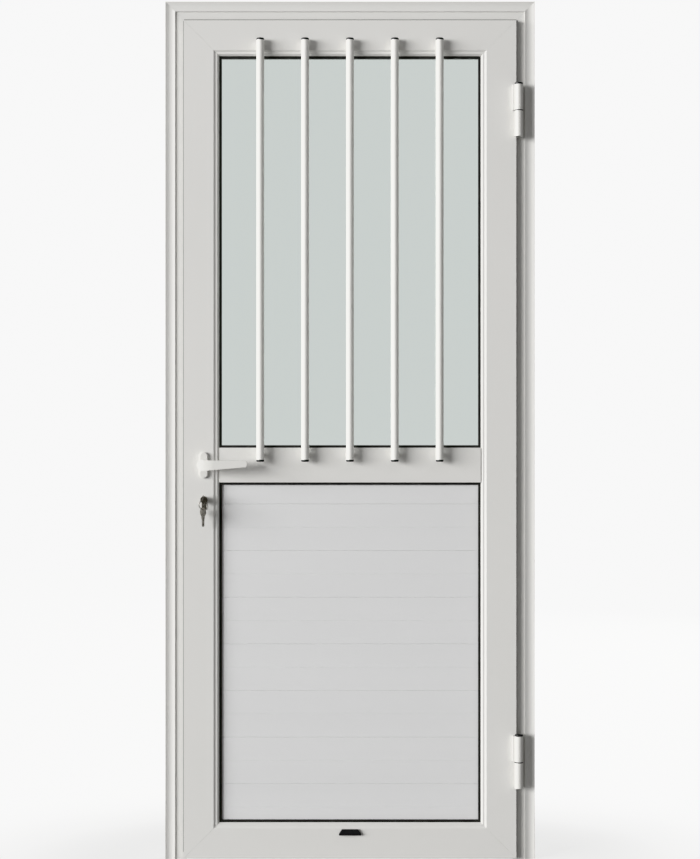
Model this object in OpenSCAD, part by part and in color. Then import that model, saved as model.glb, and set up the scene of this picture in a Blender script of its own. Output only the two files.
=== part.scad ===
// Hinged aluminium door in its frame, with a barred window above and a planked panel below.
// X runs to the right, Y away from the viewer, Z up. The origin is on the floor, at mid width,
// in the middle of the leaf's thickness. All sizes are in millimetres.

/* [Frame] */
// overall width of the frame
frame_w = 906; // [880:2:960]
// overall height of the frame
frame_h = 2102; // [2060:2:2200]
// wall of the frame extrusion
frame_wall = 2; // [1.6:0.1:2.4]
// width of the coved border
cove_w = 25; // [23:0.5:27]
// depth of the cove
cove_deep = 2.2; // [1.8:0.1:2.6]
// flat left on each side of the cove
cove_edge = 1.5; // [1:0.1:2]
// height of the border above the flat land
nose_rise = 3; // [2.6:0.1:4]
// how far the land runs on under the leaf's flange
land_lap = 6.5; // [6:0.1:7]
// width of the rear stop
stop_w = 20; // [17:0.5:24]
// thickness of the rear stop
stop_t = 4; // [3.5:0.1:5]
// room for the stop gasket behind the leaf
stop_gap = 3; // [2.5:0.1:4]
// distance of the outer wall fixings from the frame's ends
fix_end = 250; // [220:5:280]
// distance of the lower inner wall fixing below the strike plate
fix_below = 80; // [70:5:120]
// distance of the upper inner wall fixing above the strike plate
fix_above = 290; // [250:5:340]
// diameter of the wall-fixing holes
fix_d = 8.5; // [6.5:0.5:10.5]
// diameter of the plugs over the driver holes of the wall fixings
fix_cap_d = 17; // [15:0.5:18]
// length of the legs of the frame's corner cleats
frame_cleat_l = 130; // [110:5:150]
// hairline left open at the mitres of frame and leaf
mitre_gap = 0.2; // [0.1:0.05:0.4]

/* [Leaf] */
// distance from the frame's edge to the leaf's edge
leaf_reveal = 46.5; // [44:0.5:48]
// how much further the leaf's top lies below the head
head_drop = 2; // [0:0.5:3]
// thickness of the leaf
leaf_t = 52; // [50:0.5:56]
// how far the leaf's face stands in front of the frame's land
leaf_proud = 14; // [13:0.5:16]
// gap under the leaf
floor_gap = 5; // [4:1:10]
// wall of the leaf extrusions
leaf_wall = 2; // [1.6:0.1:2.4]
// flat face width of stiles and rails
face_w = 73; // [70:0.5:76]
// width of the stepped glazing lip
lip_w = 13.5; // [12:0.5:16]
// first drop of the lip
lip_drop = 3; // [2:0.1:3.5]
// second drop of the lip
lip_fall = 4.5; // [3:0.1:5]
// depth from the leaf's face to the back of the lip
lip_t = 11.5; // [10.5:0.1:12.5]
// width of the overlapping flange
flange_w = 14; // [13.8:0.1:14.6]
// thickness of the flange
flange_t = 3; // [2.6:0.1:3.4]
// height of the mid rail's centre line
mid_z = 966; // [955:1:980]
// face width of the mid rail
mid_w = 85; // [80:1:92]
// how far the mid rail's face lies behind the leaf's face
mid_set = 4; // [2.5:0.1:4.5]
// how far the flange gasket's lip shows beyond the leaf's sides
seal_side = 1.6; // [1.2:0.1:1.8]
// how far the flange gasket's lip shows beyond the leaf's top
seal_top = 3.4; // [2.8:0.1:4]
// length of the legs of the leaf's corner cleats
leaf_cleat_l = 140; // [120:5:150]
// length of the connectors inside the mid rail
conn_l = 45; // [38:1:52]
// distance of the connector's screws from its ends
conn_in = 12.3; // [10:0.1:14]
// diameter of the connector screws
conn_d = 5; // [4:0.5:6]

/* [Glazing and panel] */
// thickness of the glass
glass_t = 6; // [5:0.5:8]
// thickness of the front gasket
seal_t = 2; // [1.6:0.1:2.6]
// gasket width seen inside the lip
seal_w = 6; // [4:0.5:7]
// thickness of the back gaskets
back_seal_t = 3; // [2:0.1:3.5]
// room around the edges of glass and panel
edge_gap = 5; // [4:0.1:5.5]
// length of the setting blocks
block_l = 70; // [60:5:80]
// distance of the setting blocks from the opening's sides
block_in = 120.5; // [110:0.5:140]
// thickness of the panel planks
plank_t = 20; // [18:0.5:21]
// distance between plank joints
plank_pitch = 114.3; // [110:0.1:116]
// height of the cut plank at the top
plank_top = 59.7; // [56:0.1:64]
// wall of the hollow planks
plank_wall = 1.5; // [1.2:0.1:1.8]
// size of the chamfer at each plank joint
plank_v = 0.7; // [0.4:0.1:1]
// width of the drain hood
drain_w = 54; // [48:1:60]
// height of the drain hood
drain_h = 14.5; // [12:0.5:17]
// depth of the drain hood
drain_deep = 6; // [5:0.5:8]
// wall of the drain hood
drain_t = 1.5; // [1.2:0.1:2]

/* [Bars] */
// bar diameter
bar_d = 19; // [16:0.5:22]
// tube wall of the bars
bar_wall = 1.5; // [1.2:0.1:2]
// distance of the outer bars from the opening's sides
bar_edge = 101.5; // [90:0.5:115]
// gap between bar and leaf face
bar_stand = 5; // [4:0.5:9]
// how far the bars run up past the opening
bar_lap_high = 39.5; // [36:0.5:44]
// how far the bars run down past the opening
bar_lap_low = 34; // [30:0.5:38]
// height of the bars' end caps
bar_cap = 5; // [4:0.5:6]
// chamfer of the end caps
bar_cap_edge = 1.5; // [1:0.1:2]
// diameter of the plugs on the leaf's back
rear_plug_d = 12; // [11:0.5:13]

/* [Hinges] */
// barrel diameter
hinge_d = 20; // [19:0.5:21]
// length of one knuckle
knuckle_l = 62.5; // [58:0.5:70]
// hinge pin diameter
pin_d = 10; // [8:0.5:11]
// distance of the hinge axis beyond the leaf's edge
hinge_out = 5; // [4.8:0.1:6.2]
// gap between the barrel and the plane of the leaf's face
hinge_gap = 0.5; // [0.3:0.1:1.5]
// thickness of the washers between the knuckles
washer_t = 2; // [1.5:0.1:2.5]
// height of the hinge caps
cap_t = 4; // [3:0.5:5]
// distance of the upper hinge's split below the leaf's top
hinge_down = 222.5; // [200:0.5:260]
// distance of the lower hinge's split above the leaf's foot
hinge_up = 237; // [210:1:260]

/* [Lever and lock] */
// distance from the lock's faceplate to the lever axis
backset = 38; // [36:0.5:39]
// height of the lever axis
lever_z = 966; // [962:1:972]
// length of the lever from its axis to its tip
lever_l = 107.5; // [100:0.5:125]
// height of the lever at its tip
lever_tip_h = 15.5; // [13:0.5:18]
// length of the bend at the hub's end of the lever
lever_bend = 46; // [38:1:52]
// diameter of the lever's hub
lever_hub_d = 27; // [24:0.5:28]
// thickness of the lever's arm
lever_t = 14; // [11:0.5:16]
// distance from the leaf's face to the back of the lever
lever_gap = 32; // [28:0.5:40]
// diameter of the lever's neck
neck_d = 16; // [14:0.5:17]
// width of the roses
rose_w = 21; // [20:0.5:24]
// height of the roses
rose_h = 64; // [62:1:70]
// thickness of the roses
rose_t = 8; // [6:0.5:10]
// side of the square spindle
spindle_s = 8; // [7:0.5:9]
// distance from the lever axis down to the cylinder axis
lock_pitch = 85; // [83:0.5:87]
// length the cylinder stands out of the leaf's faces
cyl_out = 3; // [2:0.5:5]
// diameter of the cylinder's plug
plug_d = 13; // [12:0.1:13.4]
// length of the latch outside the faceplate
latch_out = 10; // [8:0.5:10.5]
// thickness of the lock case
case_t = 16; // [14:0.5:17]
// width of the lock's faceplate
plate_w = 22; // [20:0.5:24]
// thickness of the lock's faceplate
plate_t = 2.5; // [2:0.1:3]
// length of the faceplate beyond each end of the case
plate_over = 40; // [36:1:44]

/* [Keys] */
// diameter of the key's bow
bow_d = 23; // [21:0.5:25]
// length of the keys' blades
blade_l = 19; // [17:0.5:22]
// thickness of the keys
key_t = 2; // [1.6:0.1:2.2]
// mean diameter of the key ring
ring_d = 20; // [19:0.5:24]
// wire of the key ring
ring_wire = 1.8; // [1.4:0.1:2]
// turn of the spare key about its hanging line
spare_turn = 40; // [20:1:40]

/* [Fits] */
// radial clearance of turning fits
run_gap = 0.05; // [0.02:0.01:0.09]
// clearance of seated pieces
seat_gap = 0.2; // [0.1:0.05:0.3]
// clearance between gaskets and what they meet
seal_gap = 0.3; // [0.2:0.05:0.5]

/* [Hidden] */
$fn = 48;
bar_count = 5;
// levels along Y
front = -leaf_t / 2;
back = leaf_t / 2;
land_y = front + leaf_proud;
nose_y = land_y - nose_rise;
stop_y = back + stop_gap;
frame_back = stop_y + stop_t;
mid_front = front + mid_set;
rebate_y = front + lip_t;
glass_y = rebate_y + seal_t;
glass_back = glass_y + glass_t;
plank_back = glass_y + plank_t;
bead_back = back - 2;
rib_y = back - 12;
fix_y = 4;
// distances inward from the frame's outer edge
throat_u = leaf_reveal + land_lap;
stop_u = throat_u + stop_w;
groove_u = stop_u - 9;
// distances inward from the leaf's outer edge
lw = frame_w / 2 - leaf_reveal;
leaf_top = frame_h - leaf_reveal - head_drop;
leaf_bot = floor_gap;
leaf_mid = (leaf_top + leaf_bot) / 2;
rebate_v = face_w + leaf_wall;
light_v = face_w + lip_w;
rebate_s = rebate_v - light_v;
glass_v = rebate_v + edge_gap;
glass_s = glass_v - light_v;
flange_wall = 2;
flange_back = land_y - 4.5;
rib_h = 1.5;
rib_w = 2;
groove_s = -8;
groove_w = 3;
groove_d = 3;
// screws of the mid rail, behind the lock case
conn_y = case_t / 2 + 6;
// openings
light_x = lw - light_v;
light_top = leaf_top - light_v;
mid_half = mid_w / 2;
mid_reb = mid_half + rebate_s;
conn_half = mid_reb - leaf_wall - seat_gap;
conn_z = [mid_z - conn_half + conn_in, mid_z + conn_half - conn_in];
light_low = mid_z + mid_half;
panel_high = mid_z - mid_half;
panel_low = leaf_bot + light_v;
glass_x = lw - glass_v;
plank_hi = mid_z - mid_reb - edge_gap;
plank_lo = leaf_bot + glass_v;
joint_hi = plank_hi - plank_top;
plank_n = floor((joint_hi - plank_lo) / plank_pitch);
joint_lo = joint_hi - plank_n * plank_pitch;
block_x = light_x - block_in;
// bars
bar_pitch = 2 * (light_x - bar_edge) / (bar_count - 1);
bar_y = front - bar_stand - bar_d / 2;
bar_hi = light_top + bar_lap_high;
bar_lo = light_low - bar_lap_low;
bar_screw_d = 4;
bar_head_d = 8;
spacer_d = 12;
bar_screw_hi = light_top + lip_w + spacer_d / 2 + 0.5;
bar_screw_lo = light_low + rebate_s - leaf_wall - bar_head_d / 2 - seat_gap;
plug_hole_d = rear_plug_d - 3;
// hinges
hinge_x = lw + hinge_out;
hinge_y = front - hinge_d / 2 - hinge_gap;
hinge_r = hinge_d / 2;
pin_r = pin_d / 2;
washer_rim = 0.5;
split = [leaf_top - hinge_down, leaf_bot + hinge_up];
hinge_web = [hinge_x - 3, hinge_x + 6];
hinge_screw_x = (hinge_web[0] + hinge_web[1]) / 2;
hinge_base_t = 3;
frame_screw_d = 5;
access_d = 12;
leaf_screw_d = 4;
leaf_screw_x = lw - 6;
// lock
edge_x = -lw + flange_w;
plate_x = edge_x - plate_t;
lever_x = plate_x + backset;
cyl_z = lever_z - lock_pitch;
case_x1 = lever_x + 16.5;
case_lo = cyl_z - 35;
case_hi = lever_z + 38;
case_wall = 1.5;
plate_lo = case_lo - plate_over;
plate_hi = case_hi + plate_over;
latch_z = lever_z + 24;
latch_h = 16;
latch_t = 10;
latch_end = lever_x - 14.5;
bolt_z = (lever_z + cyl_z) / 2 - 3.5;
bolt_h = 26;
bolt_t = 10;
bolt_end = lever_x + 13.5;
strike_t = 2;
strike_x = -frame_w / 2 + throat_u;
cyl_r = 8.5;
cyl_h = 33;
lobe_r = 5;
lobe_z = cyl_h - cyl_r - lobe_r;
cyl_l = leaf_t + 2 * cyl_out;
cam_w = 8;
cam_r = 12.5;
cyl_screw_z = cyl_z - lobe_z;
cyl_screw_d = 5;
neck_r = neck_d / 2;
rose_front = front - rose_t;
lever_back = front - lever_gap;
hub_r = 9;
rose_screw_d = 4;
rose_screw_z = rose_h / 2 - 10.5;
// keys
key_y = -cyl_l / 2;
key_blade = 8;
bow_y = key_y - 5 - bow_d / 2;
bow_hole = 5.2;
hang_gap = 0.5;
hole_y = bow_y - bow_d / 2 + 5.5;
hang_z = cyl_z - bow_hole / 2 + ring_wire / 2 + hang_gap;
ring_z = hang_z - ring_d / 2;
spare_hang = ring_z - ring_d / 2 + ring_wire / 2 + hang_gap - bow_hole / 2;
spare_bow_z = spare_hang - bow_d / 2 + 5.5;

WHITE = [0.86, 0.86, 0.85];
BRIGHT = [0.95, 0.95, 0.94];
BLACK = [0.05, 0.05, 0.05];
STEEL = [0.62, 0.62, 0.64];
MILL = [0.75, 0.76, 0.78];
CLEAR = [0.8, 0.9, 0.92, 0.3];

// one node by name, or all of them

// a plate through the whole depth, cut to an outline given in X and Z
module slab(points) {
  along_y(-4 * leaf_t, 4 * leaf_t) polygon(points);
}

// a section drawn in (height, Y) and run along X, centred
module along_x(length) {
  translate([length / 2, 0, 0]) rotate([0, -90, 0]) linear_extrude(length) children();
}

// a section drawn in (X, Z) and run along Y between two levels
module along_y(y0, y1) {
  translate([0, y1, 0]) rotate([90, 0, 0]) linear_extrude(y1 - y0) children();
}

// a round bar along Y between two levels, at a place in X and Z
module rod_y(x, z, d, y0, y1) {
  translate([x, y1, z]) rotate([90, 0, 0]) cylinder(d = d, h = y1 - y0);
}

// a round bar along X between two places, at a level in Y and Z
module rod_x(y, z, d, x0, x1) {
  translate([x0, y, z]) rotate([0, 90, 0]) cylinder(d = d, h = x1 - x0);
}

// a box between two corners
module box(a, b) {
  translate(a) cube(b - a);
}

// the same thing on both sides of mid width
module both_sides() {
  children();
  mirror([1, 0, 0]) children();
}

// frame extrusion: distance in from the outer edge, and Y
module frame_section() {
  chord = cove_w - 2 * cove_edge;
  cove_r = (chord * chord / 4 + cove_deep * cove_deep) / (2 * cove_deep);
  cove_y = nose_y + cove_deep - cove_r;
  difference() {
    union() {
      translate([0, land_y]) square([throat_u, frame_back - land_y]);
      translate([0, nose_y]) square([cove_w, nose_rise + 1]);
      translate([0, stop_y]) square([stop_u, stop_t]);
    }
    translate([cove_w / 2, cove_y]) circle(cove_r);
    translate([frame_wall, land_y + frame_wall])
      square([throat_u - 2 * frame_wall, frame_back - land_y - 2 * frame_wall]);
    difference() {
      translate([frame_wall, nose_y + frame_wall]) square([cove_w - 2 * frame_wall, nose_rise + 1]);
      translate([cove_w / 2, cove_y]) circle(cove_r + frame_wall);
    }
    translate([groove_u, stop_y - 1]) square([3, 3]);
  }
}

module jamb_outline() {
  w = frame_w / 2;
  m = stop_u + frame_wall;
  h = frame_h - mitre_gap;
  slab([[-w - 10, -10], [-w + m, -10], [-w + m, h - m], [-w - 10, h + 10]]);
}

module head_outline() {
  w = frame_w / 2;
  m = stop_u + frame_wall;
  slab([[-w - 10, frame_h + 10], [w + 10, frame_h + 10], [w - m, frame_h - m], [-w + m, frame_h - m]]);
}

// holes for the wall fixings: through the outer wall, and for the driver through the throat
module fixing_holes() {
  for (z = fix_z) {
    rod_x(fix_y, z, fix_d, -frame_w / 2 - 1, -frame_w / 2 + frame_wall + 1);
    rod_x(fix_y, z, driver_d, strike_x - frame_wall - 1, strike_x + 1);
  }
}

module jamb_blank() {
  difference() {
    intersection() {
      translate([-frame_w / 2, 0, 0]) linear_extrude(frame_h) frame_section();
      jamb_outline();
    }
    fixing_holes();
  }
}

module frame_head() {
  color(WHITE) intersection() {
    translate([0, 0, frame_h]) mirror([0, 0, 1]) along_x(frame_w) frame_section();
    head_outline();
  }
}

module frame_jamb_lock() {
  color(WHITE) difference() {
    jamb_blank();
    strike_holes(strike_x - frame_wall - 1, strike_x + 1, 0.6);
    for (z = strike_screw_z) rod_x(0, z, 4.2, strike_x - frame_wall - 1, strike_x + 1);
  }
}

module frame_jamb_hinge() {
  color(WHITE) difference() {
    mirror([1, 0, 0]) jamb_blank();
    for (z = frame_screw_z) {
      rod_y(hinge_screw_x, z, frame_screw_d + 0.4, land_y - 1, land_y + frame_wall + 1);
      rod_y(hinge_screw_x, z, access_d, frame_back - frame_wall - 1, frame_back + 1);
    }
  }
}

// angle blocks that hold the frame's mitres together
module frame_cleats() {
  a = frame_wall + seat_gap;
  b = throat_u - frame_wall - seat_gap;
  y0 = land_y + frame_wall + seat_gap;
  y1 = frame_back - frame_wall - seat_gap;
  w = frame_w / 2;
  l = frame_cleat_l;
  color(MILL) both_sides() difference() {
    union() {
      box([-w + a, y0, frame_h - l], [-w + b, y1, frame_h - a]);
      box([-w + a, y0, frame_h - b], [-w + l, y1, frame_h - a]);
    }
    box([-w + a + 8, y0 + 6, frame_h - l - 1], [-w + b - 8, y1 - 6, frame_h - b - 6]);
    box([-w + b + 6, y0 + 6, frame_h - b + 8], [-w + l + 1, y1 - 6, frame_h - a - 8]);
  }
}

module stop_seal_section() {
  translate([groove_u, stop_y - 0.5]) square([3, 2.5]);
  translate([groove_u - 1.5, back + seal_gap]) square([6, stop_gap - seal_gap]);
}

module stop_gasket() {
  color(BLACK) {
    both_sides() intersection() {
      translate([-frame_w / 2, 0, 0]) linear_extrude(frame_h) stop_seal_section();
      jamb_outline();
    }
    intersection() {
      translate([0, 0, frame_h]) mirror([0, 0, 1]) along_x(frame_w) stop_seal_section();
      head_outline();
    }
  }
}

// openings for latch and dead bolt
module strike_holes(x0, x1, room) {
  r = 1 + room;
  box([x0, -latch_t / 2 - r, latch_z - latch_h / 2 - r], [x1, latch_t / 2 + r, latch_z + latch_h / 2 + r]);
  box([x0, -bolt_t / 2 - r, bolt_z - bolt_h / 2 - r], [x1, bolt_t / 2 + r, bolt_z + bolt_h / 2 + r]);
}

strike_lo = bolt_z - 60;
strike_hi = latch_z + 40;
strike_screw_z = [strike_lo + 12, strike_hi - 12];
fix_z = [fix_end, strike_lo - fix_below, strike_hi + fix_above, frame_h - fix_end];
driver_d = fix_cap_d - 3;

module strike_plate() {
  color(STEEL) difference() {
    box([strike_x, -11, strike_lo], [strike_x + strike_t, 11, strike_hi]);
    strike_holes(strike_x - 1, strike_x + strike_t + 1, 0);
    for (z = strike_screw_z) {
      rod_x(0, z, 4.4, strike_x - 1, strike_x + strike_t + 1);
      translate([strike_x + 0.4, 0, z]) rotate([0, 90, 0]) cylinder(d1 = 4.4, d2 = 8, h = strike_t - 0.4);
    }
  }
}

module strike_screws() {
  color(STEEL) for (z = strike_screw_z) {
    rod_x(0, z, 4, strike_x - 12, strike_x + 0.5);
    translate([strike_x + 0.4, 0, z]) rotate([0, 90, 0]) cylinder(d1 = 4, d2 = 7.6, h = strike_t - 0.4);
  }
}

// caps over the driver holes of the wall fixings
module fixing_plugs() {
  color(WHITE) both_sides() for (z = fix_z) {
    rod_x(fix_y, z, driver_d - 2 * seat_gap, strike_x - 2 * frame_wall, strike_x + seat_gap);
    rod_x(fix_y, z, fix_cap_d, strike_x, strike_x + frame_wall / 2);
  }
}

frame_screw_z = [for (s = split) for (d = [0.25, 0.75]) s - washer_t / 2 - d * knuckle_l];
leaf_screw_z = [for (s = split) for (d = [0.25, 0.75]) s + washer_t / 2 + d * knuckle_l];

// lower knuckles, each with a web down to a base on the frame's land
module hinge_frame_halves() {
  color(BRIGHT) for (i = [0, 1]) {
    z0 = split[i] - washer_t / 2 - knuckle_l;
    difference() {
      union() {
        translate([hinge_x, hinge_y, z0]) cylinder(r = hinge_r, h = knuckle_l);
        box([hinge_web[0], hinge_y, z0], [hinge_web[1], land_y, z0 + knuckle_l]);
        box([hinge_web[0], land_y - hinge_base_t, z0], [hinge_web[1] + 7, land_y, z0 + knuckle_l]);
      }
      translate([hinge_x, hinge_y, z0 - 1]) cylinder(r = pin_r, h = knuckle_l + 2);
      for (j = [0, 1]) rod_y(hinge_screw_x, frame_screw_z[2 * i + j], frame_screw_d, land_y - 12, land_y + 1);
    }
  }
}

module hinge_pins() {
  color(STEEL) for (s = split)
    translate([hinge_x, hinge_y, s - washer_t / 2 - knuckle_l])
      cylinder(r = pin_r, h = 2 * knuckle_l + washer_t - 6);
}

module hinge_washers() {
  color(BLACK) for (s = split) translate([hinge_x, hinge_y, s - washer_t / 2]) difference() {
    cylinder(r = hinge_r + washer_rim, h = washer_t - 0.1);
    translate([0, 0, -1]) cylinder(r = pin_r + run_gap, h = washer_t + 2);
  }
}

module hinge_frame_screws() {
  color(STEEL) for (z = frame_screw_z) {
    rod_y(hinge_screw_x, z, frame_screw_d, land_y - 11, land_y + frame_wall + 0.5);
    rod_y(hinge_screw_x, z, 9, land_y + frame_wall, land_y + frame_wall + 4);
  }
}

// leaf extrusion: distance in from the leaf's outer edge, and Y
module leaf_section() {
  step = lip_w / 3;
  difference() {
    union() {
      polygon([[0, front], [face_w, front], [face_w + step, front + lip_drop],
        [face_w + 2 * step, front + lip_drop], [light_v, front + lip_drop + lip_fall], [light_v, rebate_y],
        [rebate_v, rebate_y], [rebate_v, back], [flange_w, back], [flange_w, front + flange_t],
        [flange_wall, front + flange_t], [flange_wall, flange_back], [0, flange_back]]);
      translate([rebate_v - 0.5, rib_y]) square([rib_h + 0.5, rib_w]);
    }
    translate([flange_w + leaf_wall, front + leaf_wall])
      square([face_w - flange_w - leaf_wall, leaf_t - 2 * leaf_wall]);
    translate([light_v + groove_s, rebate_y - groove_d]) square([groove_w, groove_d + 1]);
  }
}

module side_outline() {
  m = light_v + leaf_wall;
  h = leaf_top - mitre_gap;
  b = leaf_bot + mitre_gap;
  slab([[-lw - 10, b - 10], [-lw - 10, h + 10], [-lw + m, h - m], [-lw + m, b + m]]);
}

module low_outline() {
  m = light_v + leaf_wall;
  slab([[-lw - 10, leaf_bot - 10], [lw + 10, leaf_bot - 10], [lw - m, leaf_bot + m], [-lw + m, leaf_bot + m]]);
}

// one stile, with its bead rib cut away where the mid rail meets it
module stile_blank() {
  difference() {
    intersection() {
      translate([-lw, 0, leaf_bot]) linear_extrude(leaf_top - leaf_bot) leaf_section();
      side_outline();
    }
    box([-lw + rebate_v, rib_y - 1, mid_z - mid_reb - seat_gap],
      [-lw + rebate_v + rib_h + 1, rib_y + rib_w + 1, mid_z + mid_reb + seat_gap]);
    for (z = conn_z) rod_x(conn_y, z, conn_d + 2 * seat_gap, -lw + face_w - 1, -lw + rebate_v + 1);
  }
}

// outline of the lock cylinder, grown by a clearance
module cylinder_outline(room) {
  circle(cyl_r + room);
  translate([-lobe_r - room, -lobe_z]) square([2 * (lobe_r + room), lobe_z]);
  translate([0, -lobe_z]) circle(lobe_r + room);
}

module stile_lock() {
  color(WHITE) difference() {
    stile_blank();
    rod_y(lever_x, lever_z, 16, front - 1, back + 1);
    for (d = [-rose_screw_z, rose_screw_z]) rod_y(lever_x, lever_z + d, rose_screw_d + 1, front - 1, back + 1);
    translate([lever_x, 0, cyl_z]) along_y(front - 1, back + 1) cylinder_outline(0.5);
    box([edge_x - 1, -case_t / 2 - 0.5, case_lo - 0.5], [edge_x + leaf_wall + 1, case_t / 2 + 0.5, case_hi + 0.5]);
    for (z = plate_screw_z) rod_x(0, z, 4.2, edge_x - 1, edge_x + leaf_wall + 1);
  }
}

module stile_hinge() {
  color(WHITE) difference() {
    mirror([1, 0, 0]) stile_blank();
    for (z = leaf_screw_z) rod_y(leaf_screw_x, z, leaf_screw_d + 0.4, front - 1, front + flange_t + 1);
  }
}

module rail_blank() {
  intersection() {
    translate([0, 0, leaf_bot]) along_x(2 * lw) leaf_section();
    low_outline();
  }
}

module top_rail() {
  color(WHITE) difference() {
    translate([0, 0, 2 * leaf_mid]) mirror([0, 0, 1]) rail_blank();
    for (x = bar_x) {
      rod_y(x, bar_screw_hi, bar_screw_d + 0.4, front - 1, front + leaf_wall + 1);
      rod_y(x, bar_screw_hi, plug_hole_d, back - leaf_wall - 1, back + 1);
    }
  }
}

drain_z = leaf_bot + face_w - drain_h / 2 - 1.5;

module bottom_rail() {
  color(WHITE) difference() {
    rail_blank();
    box([-15, front - 1, drain_z - 3], [15, front + leaf_wall + 1, drain_z + 2]);
    for (x = [-block_x, block_x])
      box([x - 12, -8, leaf_bot + flange_w - 1], [x + 12, -2, leaf_bot + flange_w + leaf_wall + 1]);
  }
}

// mid rail extrusion: distance up from its centre line, and Y
module mid_section() {
  difference() {
    union() {
      translate([-mid_half, mid_front]) square([mid_w, rebate_y - mid_front]);
      translate([-mid_reb, mid_front]) square([2 * mid_reb, back - mid_front]);
      translate([-mid_reb - rib_h, rib_y]) square([2 * (mid_reb + rib_h), rib_w]);
    }
    translate([-mid_reb + leaf_wall, mid_front + leaf_wall])
      square([2 * (mid_reb - leaf_wall), back - mid_front - 2 * leaf_wall]);
    for (s = [-1, 1]) translate([s * (mid_half + groove_s + groove_w / 2) - groove_w / 2, rebate_y - groove_d])
      square([groove_w, groove_d + 1]);
  }
}

module mid_rail() {
  color(WHITE) difference() {
    translate([0, 0, mid_z]) along_x(2 * (lw - rebate_v)) mid_section();
    both_sides() {
      box([-lw, front - 5, mid_z - mid_w], [-light_x, rebate_y, mid_z + mid_w]);
      for (s = [-1, 1]) box([-lw, rib_y - 1, mid_z + s * (mid_reb + 2) - 2],
        [-lw + rebate_v + rib_h + seat_gap, rib_y + rib_w + 1, mid_z + s * (mid_reb + 2) + 2]);
    }
    for (x = bar_x) {
      rod_y(x, bar_screw_lo, bar_screw_d + 0.4, mid_front - 1, mid_front + leaf_wall + 1);
      rod_y(x, bar_screw_lo, plug_hole_d, back - leaf_wall - 1, back + 1);
    }
  }
}

// angle blocks inside the leaf's four mitres
module leaf_cleats() {
  a = flange_w + leaf_wall + seat_gap;
  b = face_w - seat_gap;
  y0 = front + leaf_wall + seat_gap;
  y1 = -y0;
  l = leaf_cleat_l;
  color(MILL) for (h = [0, 1]) translate([0, 0, h * 2 * leaf_mid]) mirror([0, 0, h]) both_sides() difference() {
    union() {
      box([-lw + a, y0, leaf_bot + a], [-lw + b, y1, leaf_bot + l]);
      box([-lw + a, y0, leaf_bot + a], [-lw + l, y1, leaf_bot + b]);
    }
    box([-lw + a + 8, y0 + 7, leaf_bot + b + 6], [-lw + b - 8, y1 - 7, leaf_bot + l + 1]);
    box([-lw + b + 6, y0 + 7, leaf_bot + a + 8], [-lw + l + 1, y1 - 7, leaf_bot + b - 8]);
  }
}

module mid_rail_connectors() {
  h = conn_half;
  color(MILL) both_sides() difference() {
    box([-lw + rebate_v, mid_front + leaf_wall + 8, mid_z - h],
      [-lw + rebate_v + conn_l, back - leaf_wall - 2, mid_z + h]);
    box([-lw + rebate_v + 8, mid_front + leaf_wall + 16, mid_z - h + 8],
      [-lw + rebate_v + conn_l + 1, back - leaf_wall - 6, mid_z + h - 8]);
    for (z = conn_z) rod_x(conn_y, z, conn_d, -lw + rebate_v - 1, -lw + rebate_v + 9);
  }
}

module connector_screws() {
  color(STEEL) both_sides() for (z = conn_z) {
    rod_x(conn_y, z, conn_d, -lw + face_w - 0.5, -lw + rebate_v + 7.5);
    rod_x(conn_y, z, 1.6 * conn_d, -lw + face_w - conn_d / 2, -lw + face_w);
  }
}

// seal in the flange's channel, with a lip that shows beyond the leaf's edge
module flange_seal_section(show) {
  u = flange_wall + 1;
  translate([flange_wall, flange_back - 3.5]) square([flange_w - flange_wall, 3.5]);
  translate([flange_wall + 0.5, flange_back - 0.5]) square([3.8, land_y - seal_gap - flange_back + 0.5]);
  polygon([[u, flange_back + seat_gap], [-show, flange_back + seat_gap], [-show, flange_back + 2],
    [u, land_y - seal_gap]]);
}

// the seal on both sides and along the top
module flange_gasket() {
  color(BLACK) {
    both_sides() intersection() {
      translate([-lw, 0, leaf_bot + flange_w]) linear_extrude(leaf_top - leaf_bot - flange_w)
        flange_seal_section(seal_side);
      side_outline();
    }
    translate([0, 0, 2 * leaf_mid]) mirror([0, 0, 1]) intersection() {
      translate([0, 0, leaf_bot]) along_x(2 * lw) flange_seal_section(seal_top);
      low_outline();
    }
  }
}

module glass() {
  color(CLEAR) box([-glass_x, glass_y, mid_z + mid_reb + edge_gap], [glass_x, glass_back, leaf_top - glass_v]);
}

// four mitred gasket strips around an opening, each with a stem in its groove
module gasket_ring(z0, z1) {
  x = light_x;
  a = glass_s - 1.5;
  b = seal_w;
  m = (z0 + z1) / 2;
  for (k = [0, 1]) {
    mirror([k, 0, 0]) {
      intersection() {
        union() {
          box([-x + a, rebate_y, z0 + a], [-x + b, glass_y, z1 - a]);
          box([-x, rebate_y - 2, z0], [-x + b, glass_y, z1]);
        }
        slab([[-x + a - 10, z0 + a - 10], [-x + a - 10, z1 - a + 10], [-x + b + 10, z1 - b - 10],
          [-x + b + 10, z0 + b + 10]]);
      }
      box([-x + groove_s, rebate_y - groove_d, z0], [-x + groove_s + groove_w, rebate_y + 0.5, z1]);
    }
    translate([0, 0, k * 2 * m]) mirror([0, 0, k]) {
      intersection() {
        union() {
          box([-x + a, rebate_y, z0 + a], [x - a, glass_y, z0 + b]);
          box([-x, rebate_y - 2, z0], [x, glass_y, z0 + b]);
        }
        slab([[-x + a - 10, z0 + a - 10], [x - a + 10, z0 + a - 10], [x - b - 10, z0 + b + 10],
          [-x + b + 10, z0 + b + 10]]);
      }
      box([-x, rebate_y - groove_d, z0 + groove_s], [x, rebate_y + 0.5, z0 + groove_s + groove_w]);
    }
  }
}

module glass_gasket() {
  color(BLACK) gasket_ring(light_low, light_top);
}

module panel_gasket() {
  color(BLACK) gasket_ring(panel_low, panel_high);
}

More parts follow.
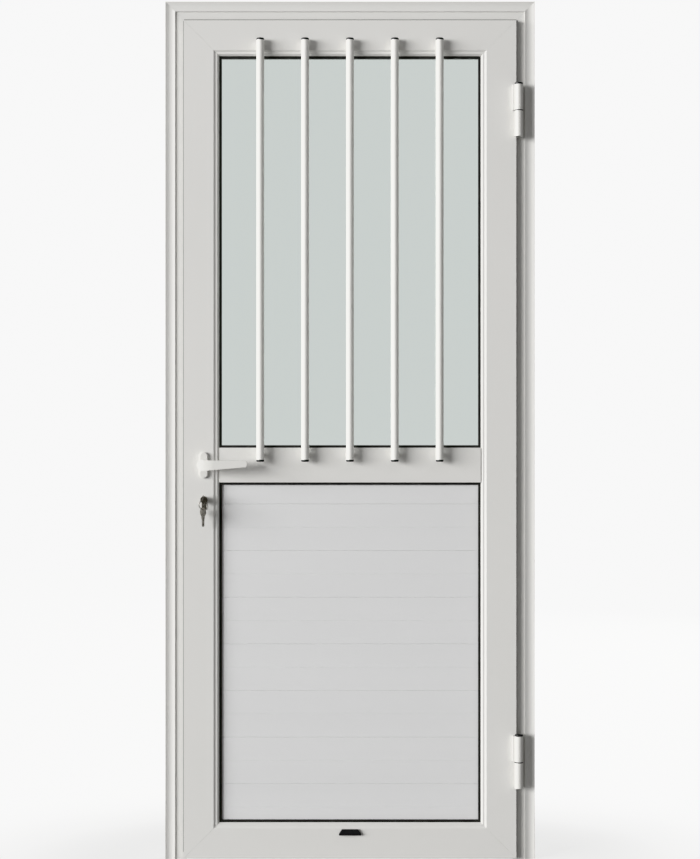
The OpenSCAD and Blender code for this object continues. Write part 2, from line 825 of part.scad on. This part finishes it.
// hollow glazing bead: distance from the daylight edge, and Y
module bead_section(y0) {
  difference() {
    translate([rebate_s, y0]) square([-rebate_s, bead_back - y0]);
    translate([rebate_s + 1.5, y0 + 1.5]) square([-rebate_s - 3, bead_back - y0 - 3]);
    translate([rebate_s - 1, rib_y - seat_gap]) square([rib_h + seat_gap + 1, rib_w + 2 * seat_gap]);
  }
}

module beads_level(z0, z1, y0) {
  l = 2 * (lw - rebate_v - rib_h - seat_gap);
  m = (z0 + z1) / 2;
  for (k = [0, 1]) translate([0, 0, k * 2 * m]) mirror([0, 0, k]) translate([0, 0, z0]) along_x(l) bead_section(y0);
}

module beads_upright(z0, z1, y0) {
  both_sides() translate([-light_x, 0, z0 + seat_gap]) linear_extrude(z1 - z0 - 2 * seat_gap) bead_section(y0);
}

module window_beads_level() {
  color(WHITE) beads_level(light_low, light_top, glass_back + back_seal_t);
}

module window_beads_upright() {
  color(WHITE) beads_upright(light_low, light_top, glass_back + back_seal_t);
}

module panel_beads_level() {
  color(WHITE) beads_level(panel_low, panel_high, plank_back + back_seal_t);
}

module panel_beads_upright() {
  color(WHITE) beads_upright(panel_low, panel_high, plank_back + back_seal_t);
}

module back_seal_ring(z0, z1, y0) {
  x = light_x;
  a = glass_s;
  both_sides() box([-x + a, y0, z0], [-x, y0 + back_seal_t, z1]);
  box([-x + a, y0, z0 + a], [x - a, y0 + back_seal_t, z0]);
  box([-x + a, y0, z1], [x - a, y0 + back_seal_t, z1 - a]);
}

module back_gaskets() {
  color(BLACK) {
    back_seal_ring(light_low, light_top, glass_back);
    back_seal_ring(panel_low, panel_high, plank_back);
  }
}

// packers that carry the glass and the lowest plank
module setting_blocks() {
  l = block_l / 2;
  color(BLACK) for (x = [-block_x, block_x]) {
    box([x - l, glass_y, mid_z + mid_reb], [x + l, glass_back, mid_z + mid_reb + edge_gap]);
    box([x - l, glass_y, leaf_bot + rebate_v], [x + l, plank_back, leaf_bot + rebate_v + edge_gap]);
  }
}

// hollow tongue-and-groove plank: height above its lower joint, and Y
module plank_section() {
  h = plank_pitch - 0.1;
  mid_y = glass_y + plank_t / 2;
  difference() {
    union() {
      translate([0, glass_y]) square([h, plank_t]);
      translate([h - 1, mid_y - 2.5]) square([7, 5]);
    }
    translate([-1, mid_y - 2.5 - seat_gap]) square([7.5, 5 + 2 * seat_gap]);
    translate([6.5 + plank_wall, glass_y + plank_wall])
      square([h / 2 - 6.5 - 1.5 * plank_wall, plank_t - 2 * plank_wall]);
    translate([h / 2 + plank_wall / 2, glass_y + plank_wall])
      square([h / 2 - 1.5 * plank_wall, plank_t - 2 * plank_wall]);
    polygon([[-1, glass_y - 1], [plank_v + 1, glass_y - 1], [-1, glass_y + plank_v + 1]]);
    polygon([[h + 1, glass_y - 1], [h - plank_v - 1, glass_y - 1], [h + 1, glass_y + plank_v + 1]]);
    polygon([[h / 2 - 1.4, glass_y - 1], [h / 2 + 1.4, glass_y - 1], [h / 2, glass_y + 0.4]]);
  }
}

module plank(z, lo, hi) {
  translate([0, 0, z]) along_x(2 * glass_x) intersection() {
    plank_section();
    translate([lo, glass_y - 5]) square([hi - lo, plank_t + 10]);
  }
}

module plank_high() {
  color(WHITE) plank(joint_hi, -1, plank_top);
}

module planks_full() {
  color(WHITE) for (i = [1 : plank_n]) plank(joint_hi - i * plank_pitch, -1, plank_pitch + 10);
}

module plank_low() {
  color(WHITE) plank(joint_lo - plank_pitch, plank_pitch - (joint_lo - plank_lo), plank_pitch + 10);
}

bar_x = [for (i = [0 : bar_count - 1]) (i - (bar_count - 1) / 2) * bar_pitch];

module bars() {
  color(BRIGHT) for (x = bar_x) difference() {
    translate([x, bar_y, bar_lo + bar_cap]) cylinder(d = bar_d, h = bar_hi - bar_lo - 2 * bar_cap);
    translate([x, bar_y, bar_lo]) cylinder(d = bar_d - 2 * bar_wall, h = bar_hi - bar_lo);
    for (z = [bar_screw_hi, bar_screw_lo]) rod_y(x, z, bar_screw_d, bar_y, bar_y + bar_d);
  }
}

// end plug of a bar: a chamfered head, and a stem down the bore
module bar_plug(stem) {
  e = bar_cap_edge;
  cylinder(d = bar_d, h = bar_cap - e);
  translate([0, 0, bar_cap - e]) cylinder(d1 = bar_d, d2 = bar_d - 2 * e, h = e);
  translate([0, 0, -stem]) cylinder(d = bar_d - 2 * bar_wall, h = stem + 1);
}

module bar_caps() {
  color(BLACK) for (x = bar_x) {
    translate([x, bar_y, bar_hi - bar_cap]) bar_plug(3);
    translate([x, bar_y, bar_lo + bar_cap]) mirror([0, 0, 1]) bar_plug(1.5);
  }
}

module spacer(x, z, y1) {
  difference() {
    rod_y(x, z, spacer_d, bar_y + bar_d / 4, y1);
    translate([x, bar_y, z - 20]) cylinder(d = bar_d, h = 40);
    rod_y(x, z, bar_screw_d, bar_y, y1 + 1);
  }
}

// saddles between bars and rails
module bar_spacers() {
  color(BRIGHT) for (x = bar_x) {
    spacer(x, bar_screw_hi, front);
    spacer(x, bar_screw_lo, mid_front);
  }
}

module bar_screw(x, z, y) {
  rod_y(x, z, bar_screw_d, bar_y + bar_d / 2 - bar_wall - 2, y + 0.5);
  rod_y(x, z, bar_head_d, y, y + 4);
}

module bar_screws() {
  color(STEEL) for (x = bar_x) {
    bar_screw(x, bar_screw_hi, front + leaf_wall);
    bar_screw(x, bar_screw_lo, mid_front + leaf_wall);
  }
}

// caps over the driver holes on the leaf's back
module rear_plugs() {
  color(WHITE) for (x = bar_x) for (z = [bar_screw_hi, bar_screw_lo]) {
    rod_y(x, z, plug_hole_d - 2 * seat_gap, back - leaf_wall - 3, back + 0.5);
    rod_y(x, z, rear_plug_d, back, back + 1.2);
  }
}

// hood over the drain slot, with sloping shoulders, open below
module drain_cap() {
  w = drain_w / 2;
  h = drain_h / 2;
  t = drain_t;
  color(BLACK) translate([0, 0, drain_z]) difference() {
    along_y(front - drain_deep, front)
      polygon([[-w, -h], [w, -h], [w, -h / 2], [w - h, h], [-w + h, h], [-w, -h / 2]]);
    along_y(front - drain_deep + t, front + 1)
      polygon([[-w + t, -h - 1], [w - t, -h - 1], [w - t, -h / 2], [w - h - t, h - t], [-w + h + t, h - t],
        [-w + t, -h / 2]]);
  }
}

// upper knuckles, each with a block screwed to the leaf's flange
module hinge_leaf_halves() {
  color(BRIGHT) for (i = [0, 1]) {
    z0 = split[i] + washer_t / 2;
    difference() {
      union() {
        translate([hinge_x, hinge_y, z0]) cylinder(r = hinge_r, h = knuckle_l);
        box([lw - 9.5, hinge_y, z0], [hinge_x - 3.6, front, z0 + knuckle_l]);
      }
      translate([hinge_x, hinge_y, z0 - 1]) cylinder(r = pin_r + run_gap, h = knuckle_l + 2);
      for (j = [0, 1]) rod_y(leaf_screw_x, leaf_screw_z[2 * i + j], leaf_screw_d, front - 7.5, front + 1);
    }
  }
}

module hinge_caps() {
  color(BLACK) for (s = split) translate([hinge_x, hinge_y, s + washer_t / 2 + knuckle_l]) {
    cylinder(r = hinge_r, h = cap_t);
    translate([0, 0, -4]) cylinder(r = pin_r, h = 5);
  }
}

module hinge_leaf_screws() {
  color(STEEL) for (z = leaf_screw_z) {
    rod_y(leaf_screw_x, z, leaf_screw_d, front - 7, front + flange_t + 0.5);
    rod_y(leaf_screw_x, z, 7, front + flange_t, front + flange_t + 2.4);
  }
}

// lock case, open at the faceplate
module lock_case() {
  w = case_wall;
  color(STEEL) difference() {
    box([edge_x, -case_t / 2, case_lo], [case_x1, case_t / 2, case_hi]);
    box([edge_x - 1, -case_t / 2 + w, case_lo + w], [case_x1 - w, case_t / 2 - w, case_hi - w]);
    rod_y(lever_x, lever_z, 2 * (hub_r + run_gap), -case_t, case_t);
    for (d = [-rose_screw_z, rose_screw_z]) rod_y(lever_x, lever_z + d, rose_screw_d + 1, -case_t, case_t);
    translate([lever_x, 0, cyl_z]) along_y(-case_t, case_t) cylinder_outline(0.3);
  }
}

plate_screw_z = [plate_lo + 14, plate_hi - 14];

module lock_faceplate() {
  color(STEEL) difference() {
    box([plate_x, -plate_w / 2, plate_lo], [edge_x, plate_w / 2, plate_hi]);
    box([plate_x - 1, -latch_t / 2 - 0.3, latch_z - latch_h / 2 - 0.3],
      [edge_x + 1, latch_t / 2 + 0.3, latch_z + latch_h / 2 + 0.3]);
    box([plate_x - 1, -bolt_t / 2 - 0.3, bolt_z - bolt_h / 2 - 0.3],
      [edge_x + 1, bolt_t / 2 + 0.3, bolt_z + bolt_h / 2 + 0.3]);
    rod_x(0, cyl_screw_z, cyl_screw_d + 0.6, plate_x - 1, edge_x + 1);
    for (z = plate_screw_z) {
      rod_x(0, z, 4.4, plate_x - 1, edge_x + 1);
      translate([plate_x, 0, z]) rotate([0, 90, 0]) cylinder(d1 = 8, d2 = 4.4, h = 2);
    }
  }
}

module faceplate_screws() {
  color(STEEL) for (z = plate_screw_z) {
    rod_x(0, z, 4, plate_x + 1.5, edge_x + 12);
    translate([plate_x, 0, z]) rotate([0, 90, 0]) cylinder(d1 = 7.6, d2 = 4, h = 2);
  }
}

// profile cylinder, notched in the middle for its cam
module cylinder_body() {
  color(STEEL) translate([lever_x, 0, cyl_z]) difference() {
    along_y(-cyl_l / 2, cyl_l / 2) cylinder_outline(0);
    rod_y(0, 0, plug_d + 2 * run_gap, -cyl_l, cyl_l);
    box([-20, -cam_w / 2 - 0.5, -cam_r - 0.4], [20, cam_w / 2 + 0.5, 20]);
    rod_x(0, -lobe_z, cyl_screw_d, -20, 20);
  }
}

module cylinder_screw() {
  color(STEEL) {
    rod_x(0, cyl_screw_z, cyl_screw_d, plate_x - 0.5, lever_x + 4);
    rod_x(0, cyl_screw_z, 8, plate_x - 1.6, plate_x);
  }
}

module rose_outline(inset) {
  r = rose_w / 2 - inset;
  for (s = [-1, 1]) translate([0, s * (rose_h / 2 - rose_w / 2)]) circle(r);
  translate([-r, -(rose_h / 2 - rose_w / 2)]) square([2 * r, rose_h - rose_w]);
}

// pill-shaped rose with a stepped edge, on the viewer's side
module rose() {
  translate([lever_x, 0, lever_z]) difference() {
    union() {
      along_y(front - rose_t + 2, front) rose_outline(0);
      along_y(front - rose_t, front) rose_outline(1.5);
    }
    rod_y(0, 0, neck_d + 2 * run_gap, front - rose_t - 1, front + 1);
  }
}

module rose_front_plate() {
  color(BRIGHT) difference() {
    rose();
    for (d = [-rose_screw_z, rose_screw_z])
      rod_y(lever_x, lever_z + d, rose_screw_d, front - 5, front + 1);
  }
}

module rose_rear_plate() {
  color(BRIGHT) difference() {
    mirror([0, 1, 0]) rose();
    for (d = [-rose_screw_z, rose_screw_z])
      rod_y(lever_x, lever_z + d, rose_screw_d + 0.6, back - 1, back + rose_t + 1);
  }
}

// through-bolts that clamp the two roses on the leaf
module rose_screws() {
  color(STEEL) for (d = [-rose_screw_z, rose_screw_z]) {
    rod_y(lever_x, lever_z + d, rose_screw_d, front - 4.5, back + rose_t + 0.5);
    rod_y(lever_x, lever_z + d, 7, back + rose_t, back + rose_t + 2);
  }
}

// lever outline seen from the viewer's side, axis at the origin
module lever_outline() {
  r = lever_hub_d / 2;
  top = r - 2.5;
  circle(r);
  polygon([[0, r - 1], [lever_l - 3, top], [lever_l, top - 3], [lever_l, top - lever_tip_h + 3],
    [lever_l - 3, top - lever_tip_h], [0, -r]]);
}

// the arm seen from above: straight, with the hub's end bending back towards the door
module lever_plan() {
  x0 = -lever_hub_d / 2;
  y0 = lever_back - lever_t;
  drop = lever_t / 2;
  r = (lever_bend * lever_bend + drop * drop) / (2 * drop);
  intersection() {
    translate([x0, y0]) square([lever_l - x0, lever_t]);
    union() {
      translate([x0 + lever_bend, y0 + r - 0.1]) circle(r);
      translate([x0 + lever_bend, y0 - 1]) square([lever_l, lever_t + 2]);
    }
  }
}

module lever() {
  translate([lever_x, 0, lever_z]) difference() {
    union() {
      intersection() {
        along_y(lever_back - lever_t - 1, lever_back) lever_outline();
        translate([0, 0, -lever_hub_d]) linear_extrude(2 * lever_hub_d) lever_plan();
      }
      rod_y(0, 0, neck_d, lever_back - 1, front - 0.5);
    }
    box([-spindle_s / 2 - 0.05, lever_back + 1, -spindle_s / 2 - 0.05],
      [spindle_s / 2 + 0.05, front + 1, spindle_s / 2 + 0.05]);
  }
}

module lever_front() {
  color(BRIGHT) lever();
}

module lever_rear() {
  color(BRIGHT) mirror([0, 1, 0]) lever();
}

module spindle() {
  l = -lever_back - 2;
  color(STEEL) translate([lever_x, 0, lever_z]) cube([spindle_s, 2 * l, spindle_s], center = true);
}

// follower in the lock case that the spindle turns
module lock_hub() {
  color(STEEL) translate([lever_x, 0, lever_z]) difference() {
    rod_y(0, 0, 2 * hub_r, -case_t / 2, case_t / 2);
    cube([spindle_s + 0.1, case_t + 2, spindle_s + 0.1], center = true);
  }
}

// sprung latch with a sloping rear face, so that closing the leaf pushes it in
module latch_bolt() {
  x0 = plate_x - latch_out;
  color(STEEL) translate([0, 0, latch_z - latch_h / 2]) linear_extrude(latch_h)
    polygon([[x0, -latch_t / 2], [x0 + 1.5, -latch_t / 2 + 2.5], [plate_x - 0.5, latch_t / 2],
      [latch_end, latch_t / 2], [latch_end, -latch_t / 2]]);
}

module dead_bolt() {
  color(STEEL) box([plate_x, -bolt_t / 2, bolt_z - bolt_h / 2], [bolt_end, bolt_t / 2, bolt_z + bolt_h / 2]);
}

// plug of the cylinder with its cam in the middle and a keyway at the front
module cylinder_plug() {
  color(STEEL) translate([lever_x, 0, cyl_z]) difference() {
    union() {
      rod_y(0, 0, plug_d, -cyl_l / 2, cyl_l / 2);
      rod_y(0, 0, 15.5, -cam_w / 2, cam_w / 2);
      box([-4, -cam_w / 2, 0], [4, cam_w / 2, cam_r - 0.8]);
    }
    box([-key_t / 2 - 0.1, -cyl_l / 2 - 1, -key_blade / 2 - 0.1], [key_t / 2 + 0.1, -4, key_blade / 2 + 0.1]);
  }
}

// key outline with its bow at the origin and its blade towards +X
module key_outline(blade) {
  r = bow_d / 2;
  n = key_blade / 2;
  difference() {
    union() {
      circle(r);
      translate([0, -n - 1.5]) square([r + 5, 2 * n + 3]);
      translate([0, -n]) square([r + 5 + blade - 2, 2 * n]);
      translate([r + 5 + blade - 3, -n + 1.5]) square([3, 2 * n - 3]);
    }
    translate([-r + 5.5, 0]) circle(d = bow_hole);
    for (i = [1 : 4]) translate([r + 5 + i * blade / 5, n]) rotate(45) square(2.2, center = true);
  }
}

module key() {
  color(STEEL) translate([lever_x, bow_y, cyl_z]) rotate([90, 0, 90]) linear_extrude(key_t, center = true)
    key_outline(blade_l);
}

module key_ring() {
  color(STEEL) translate([lever_x, hole_y, ring_z]) rotate([90, 0, 0]) rotate_extrude()
    translate([ring_d / 2, 0]) circle(d = ring_wire);
}

module spare_key() {
  color(STEEL) translate([lever_x, hole_y, spare_bow_z]) rotate([0, 0, spare_turn]) rotate([0, 90, 0])
    linear_extrude(key_t, center = true) key_outline(blade_l);
}

frame_head();
frame_jamb_lock();
frame_jamb_hinge();
frame_cleats();
stop_gasket();
strike_plate();
strike_screws();
fixing_plugs();
hinge_frame_halves();
hinge_pins();
hinge_washers();
hinge_frame_screws();
stile_lock();
stile_hinge();
top_rail();
bottom_rail();
mid_rail();
leaf_cleats();
mid_rail_connectors();
connector_screws();
flange_gasket();
glass();
glass_gasket();
window_beads_level();
window_beads_upright();
plank_high();
planks_full();
plank_low();
panel_gasket();
panel_beads_level();
panel_beads_upright();
back_gaskets();
setting_blocks();
bars();
bar_caps();
bar_spacers();
bar_screws();
rear_plugs();
drain_cap();
hinge_leaf_halves();
hinge_caps();
hinge_leaf_screws();
lock_case();
lock_faceplate();
faceplate_screws();
cylinder_body();
cylinder_screw();
rose_front_plate();
rose_rear_plate();
rose_screws();
lever_front();
lever_rear();
spindle();
lock_hub();
latch_bolt();
dead_bolt();
cylinder_plug();
key();
key_ring();
spare_key();
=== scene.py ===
import math

import bpy
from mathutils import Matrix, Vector

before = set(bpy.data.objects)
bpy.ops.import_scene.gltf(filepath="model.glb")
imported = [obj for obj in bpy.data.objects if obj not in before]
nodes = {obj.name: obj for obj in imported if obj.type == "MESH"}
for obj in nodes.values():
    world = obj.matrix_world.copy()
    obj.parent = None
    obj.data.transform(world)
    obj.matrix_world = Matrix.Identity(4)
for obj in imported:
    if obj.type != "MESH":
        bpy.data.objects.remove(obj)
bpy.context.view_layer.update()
scene = bpy.context.scene
scene.view_settings.view_transform = "Khronos PBR Neutral"

# strength at which the studio behind the door shows as white
WHITE_OUT = 1.5
# strength of the light that comes from all round
AMBIENT = 0.29
# extra strength of studio and floor where they are seen through the glass
STUDIO_IN_GLASS = 0.44
FLOOR_IN_GLASS = 0.6
# glow of the floor far from the door, where the floor's own shade makes up the rest
FLOOR_GLOW_FAR = WHITE_OUT - 0.15
# glow of the floor close to the door
FLOOR_GLOW_NEAR = 0.62

WHITE = (1.0, 1.0, 1.0, 1.0)
# sheen of the satin powder coat
SATIN = 0.35


def linear(level):
    """Scene value of a display level from 0 to 255."""
    c = level / 255
    return c / 12.92 if c <= 0.04045 else ((c + 0.055) / 1.055) ** 2.4


def shade(r, g, b):
    return (linear(r), linear(g), linear(b), 1.0)


def grey(value):
    return (value, value, value, 1.0)


def multiply_add(tree, value, factor, extra):
    """Output of a node that works out value * factor + extra, each a number or another node's output."""
    node = tree.nodes.new("ShaderNodeMath")
    node.operation = "MULTIPLY_ADD"
    for socket, source in zip(node.inputs, (value, factor, extra)):
        if isinstance(source, bpy.types.NodeSocket):
            tree.links.new(source, socket)
        else:
            socket.default_value = source
    return node.outputs["Value"]


class Surface:
    """A node material built up in steps around one principled shader."""

    def __init__(self, name, colour, rough, metal=0.0):
        self.material = bpy.data.materials.new(name)
        self.material.use_nodes = True
        self.tree = self.material.node_tree
        self.shader = self.tree.nodes["Principled BSDF"]
        self.place = self.add("ShaderNodeTexCoord")
        self.normal = None
        self.colour = colour
        self.rough = rough
        self.set(Base_Color=colour, Roughness=rough, Metallic=metal)

    def add(self, kind):
        return self.tree.nodes.new(kind)

    def link(self, source, target):
        self.tree.links.new(source, target)

    def set(self, **sockets):
        for name, value in sockets.items():
            self.shader.inputs[name.replace("_", " ")].default_value = value

    def mapped(self, scale):
        """Place on the piece, scaled along each axis."""
        mapping = self.add("ShaderNodeMapping")
        mapping.inputs["Scale"].default_value = scale
        self.link(self.place.outputs["Object"], mapping.inputs["Vector"])
        return mapping.outputs["Vector"]

    def noise(self, scale, detail, stretch):
        noise = self.add("ShaderNodeTexNoise")
        noise.inputs["Scale"].default_value = scale
        noise.inputs["Detail"].default_value = detail
        self.link(self.mapped(stretch), noise.inputs["Vector"])
        return noise.outputs["Fac"]

    def ramp(self, source, low, high):
        ramp = self.add("ShaderNodeValToRGB")
        start, end = ramp.color_ramp.elements
        start.position, start.color = 0.3, low
        end.position, end.color = 0.7, high
        self.link(source, ramp.inputs["Fac"])
        return ramp.outputs["Color"]

    def mottle(self, scale, amount, stretch=(1, 1, 1)):
        """Slow drift of the colour by a share of itself."""
        low = tuple(c * (1 - amount) for c in self.colour[:3]) + (1.0,)
        high = tuple(min(1.0, c * (1 + amount)) for c in self.colour[:3]) + (1.0,)
        colour = self.ramp(self.noise(scale, 2.0, stretch), low, high)
        self.link(colour, self.shader.inputs["Base Color"])

    def rub(self, scale, amount, stretch=(1, 1, 1)):
        """Slow drift of the roughness."""
        low, high = grey(self.rough - amount), grey(self.rough + amount)
        value = self.ramp(self.noise(scale, 3.0, stretch), low, high)
        self.link(value, self.shader.inputs["Roughness"])

    def grain(self, scale, microns, stretch=(1, 1, 1), detail=2.0):
        """Fine relief, laid over any relief made before."""
        bump = self.add("ShaderNodeBump")
        bump.inputs["Strength"].default_value = 1.0
        bump.inputs["Distance"].default_value = microns * 1e-6
        self.link(self.noise(scale, detail, stretch), bump.inputs["Height"])
        if self.normal:
            self.link(self.normal, bump.inputs["Normal"])
        self.normal = bump.outputs["Normal"]
        self.link(self.normal, self.shader.inputs["Normal"])


# powder coat: satin white with a fine orange peel and a slow drift of tone
coat = Surface("powder_coat_white", shade(226, 225, 222), rough=0.55)
coat.set(Specular_IOR_Level=SATIN)
coat.mottle(scale=1.7, amount=0.012)
coat.rub(scale=6.0, amount=0.05)
coat.grain(scale=950.0, microns=25)
coat.grain(scale=140.0, microns=10)

# the planks are rolled from the same metal, with a faint draw along their length
planks = Surface("powder_coat_planks", shade(226, 226, 226), rough=0.55)
planks.set(Specular_IOR_Level=SATIN)
planks.mottle(scale=2.6, amount=0.014, stretch=(0.4, 1, 3))
planks.rub(scale=5.0, amount=0.05, stretch=(0.3, 1, 4))
planks.grain(scale=950.0, microns=20)
planks.grain(scale=60.0, microns=20, stretch=(0.1, 1, 2))

# bars are a brighter, glossier enamel
enamel = Surface("enamel_bright_white", shade(240, 239, 235), rough=0.42)
enamel.mottle(scale=3.0, amount=0.01)
enamel.rub(scale=9.0, amount=0.05)
enamel.grain(scale=700.0, microns=15)

# lever, roses and hinges: die-cast pieces under a smooth coat
cast = Surface("coated_casting_white", shade(229, 228, 224), rough=0.34)
cast.mottle(scale=12.0, amount=0.012)
cast.rub(scale=20.0, amount=0.05)
cast.grain(scale=800.0, microns=20)
cast.grain(scale=90.0, microns=30)

# gaskets: black rubber with a dusty bloom
rubber = Surface("gasket_rubber_black", shade(50, 50, 48), rough=0.62)
rubber.mottle(scale=35.0, amount=0.35)
rubber.rub(scale=60.0, amount=0.08)
rubber.grain(scale=1200.0, microns=30)

# caps, washers, drain hood: moulded black plastic
moulded = Surface("moulded_plastic_black", shade(46, 46, 47), rough=0.42)
moulded.mottle(scale=60.0, amount=0.2)
moulded.rub(scale=80.0, amount=0.06)
moulded.grain(scale=1500.0, microns=20)

# plugs on hidden faces: moulded white plastic
plug = Surface("moulded_plastic_white", shade(222, 221, 216), rough=0.45)
plug.mottle(scale=30.0, amount=0.015)
plug.rub(scale=70.0, amount=0.05)
plug.grain(scale=1500.0, microns=20)

# screws, lock case, plates: zinc-plated steel with a brushed grain
steel = Surface("zinc_plated_steel", shade(178, 179, 181), rough=0.34, metal=1.0)
steel.mottle(scale=40.0, amount=0.06)
steel.rub(scale=60.0, amount=0.08, stretch=(1, 1, 6))
steel.grain(scale=900.0, microns=20, stretch=(1, 1, 0.1))

# cylinder and keys: nickel plate, dulled by handling
nickel = Surface("nickel_plate_worn", shade(150, 147, 140), rough=0.30, metal=1.0)
nickel.mottle(scale=70.0, amount=0.16)
nickel.rub(scale=120.0, amount=0.10)
nickel.grain(scale=1100.0, microns=20)

# cleats inside the sections: raw extruded metal
mill = Surface("mill_aluminium", shade(190, 192, 196), rough=0.36, metal=1.0)
mill.mottle(scale=20.0, amount=0.05)
mill.rub(scale=40.0, amount=0.08, stretch=(1, 1, 5))
mill.grain(scale=500.0, microns=20, stretch=(1, 1, 0.1))

# float glass, nearly clear, with a hint of green and a slight wave
glazing = Surface("float_glass_clear", shade(240, 247, 244), rough=0.0)
glazing.set(Transmission_Weight=1.0, IOR=1.46)
glazing.grain(scale=1.2, microns=600, detail=0.0)

FINISHES = [
    (coat, ["frame_head", "frame_jamb_lock", "frame_jamb_hinge", "stile_lock", "stile_hinge", "top_rail",
            "bottom_rail", "mid_rail", "window_beads_level", "window_beads_upright", "panel_beads_level",
            "panel_beads_upright"]),
    (planks, ["plank_high", "planks_full", "plank_low"]),
    (enamel, ["bars", "bar_spacers"]),
    (cast, ["hinge_frame_halves", "hinge_leaf_halves", "rose_front_plate", "rose_rear_plate", "lever_front",
            "lever_rear"]),
    (rubber, ["stop_gasket", "flange_gasket", "glass_gasket", "panel_gasket", "back_gaskets"]),
    (moulded, ["bar_caps", "hinge_caps", "hinge_washers", "setting_blocks", "drain_cap"]),
    (plug, ["fixing_plugs", "rear_plugs"]),
    (steel, ["strike_plate", "strike_screws", "hinge_pins", "hinge_frame_screws", "connector_screws",
             "bar_screws", "hinge_leaf_screws", "lock_case", "lock_faceplate", "faceplate_screws",
             "cylinder_screw", "rose_screws", "spindle", "lock_hub", "latch_bolt", "dead_bolt"]),
    (nickel, ["cylinder_body", "cylinder_plug", "key", "key_ring", "spare_key"]),
    (mill, ["frame_cleats", "leaf_cleats", "mid_rail_connectors"]),
    (glazing, ["glass"]),
]
for surface, names in FINISHES:
    for name in names:
        nodes[name].data.materials.clear()
        nodes[name].data.materials.append(surface.material)


def soften(name, width, segments):
    """Rounds the sharp edges of a CAD node, as coating and casting do."""
    piece = nodes[name]
    weld = piece.modifiers.new("join", "WELD")
    weld.merge_threshold = 0.00001
    # flat faces become whole again, so that the rounding meets no thin triangles
    plain = piece.modifiers.new("flat", "DECIMATE")
    plain.decimate_type = "DISSOLVE"
    plain.angle_limit = math.radians(0.2)
    bevel = piece.modifiers.new("round", "BEVEL")
    bevel.width = width
    bevel.segments = segments
    bevel.limit_method = "ANGLE"
    bevel.angle_limit = math.radians(30)
    bevel.use_clamp_overlap = True
    even = piece.modifiers.new("even", "WEIGHTED_NORMAL")
    even.keep_sharp = False
    even.weight = 100


# width of the rounding in metres, and its steps
ROUNDINGS = [
    (["lever_front", "lever_rear"], 0.003, 4),
    (["rose_front_plate", "rose_rear_plate"], 0.0009, 3),
    (["hinge_frame_halves", "hinge_leaf_halves"], 0.0007, 2),
    (["bar_caps", "hinge_caps", "drain_cap"], 0.0006, 2),
]
for names, width, segments in ROUNDINGS:
    for name in names:
        soften(name, width, segments)

# floor: a painted glow, weaker near the door so the floor shows pale there, and strong farther off, where
# it is lost in the white of the studio
bpy.ops.mesh.primitive_circle_add(vertices=96, radius=9.0, fill_type="NGON", location=(0, 0, 0))
floor = bpy.context.object
floor.name = "floor"
ground = Surface("studio_floor_pale", shade(158, 158, 157), rough=0.9)
ground.mottle(scale=0.8, amount=0.004)
ground.set(Emission_Color=WHITE)

# the pool of weaker painted glow around the door is an oval, wider than it is deep
oval = ground.mapped((0.75, 1.1, 1.0))
glow_pool = ground.add("ShaderNodeTexGradient")
glow_pool.gradient_type = "SPHERICAL"
ground.link(oval, glow_pool.inputs["Vector"])
fade = ground.add("ShaderNodeMapRange")
fade.interpolation_type = "SMOOTHSTEP"
fade.inputs["From Max"].default_value = 0.6
fade.inputs["To Min"].default_value = FLOOR_GLOW_FAR
fade.inputs["To Max"].default_value = FLOOR_GLOW_NEAR
ground.link(glow_pool.outputs["Fac"], fade.inputs["Value"])

# the glow shows to the eye and through the glass, and lights nothing
rays = ground.add("ShaderNodeLightPath")
direct = multiply_add(ground.tree, rays.outputs["Is Camera Ray"], fade.outputs["Result"], 0.0)
glow = multiply_add(ground.tree, rays.outputs["Is Transmission Ray"], FLOOR_IN_GLASS, direct)
ground.link(glow, ground.shader.inputs["Emission Strength"])
floor.data.materials.append(ground.material)


def lamp(name, place, target, watts, width, height):
    """A flat lamp, hidden from the eye and from the view through the glass."""
    light = bpy.data.lights.new(name, "AREA")
    light.shape = "RECTANGLE"
    light.size = width
    light.size_y = height
    light.energy = watts
    holder = bpy.data.objects.new(name, light)
    holder.location = place
    holder.rotation_mode = "QUATERNION"
    holder.rotation_quaternion = (Vector(target) - Vector(place)).to_track_quat("-Z", "Y")
    holder.visible_camera = False
    holder.visible_transmission = False
    scene.collection.objects.link(holder)


# a broad, nearly level light from the far left, and a weak one on the back
lamp("window_light", (-21.7, -13.0, 4.6), (0, 0, 1.2), watts=8500, width=18.0, height=9.2)
lamp("back_fill", (2.5, 4.5, 2.6), (0, 0, 1.0), watts=190, width=3.0, height=3.0)

# studio: soft light from all round, white to the eye, and a shade darker through the glass
world = bpy.data.worlds.new("studio")
scene.world = world
world.use_nodes = True
tree = world.node_tree
background = tree.nodes["Background"]
background.inputs["Color"].default_value = WHITE
path = tree.nodes.new("ShaderNodeLightPath")
seen = multiply_add(tree, path.outputs["Is Camera Ray"], WHITE_OUT - AMBIENT, AMBIENT)
through = multiply_add(tree, path.outputs["Is Transmission Ray"], STUDIO_IN_GLASS, seen)
tree.links.new(through, background.inputs["Strength"])

# camera: square on to the door, at mid height, far enough back to flatten the view
distance = 4.3
face_y = -0.022
eye_height = 1.053
seen_height = 2.101
sensor = 36.0
view = bpy.data.cameras.new("camera")
view.sensor_fit = "AUTO"
view.sensor_width = sensor
view.lens = sensor * distance / seen_height
camera = bpy.data.objects.new("camera", view)
camera.location = (0.0, face_y - distance, eye_height)
camera.rotation_euler = (math.radians(90), 0, 0)
scene.collection.objects.link(camera)
scene.camera = camera
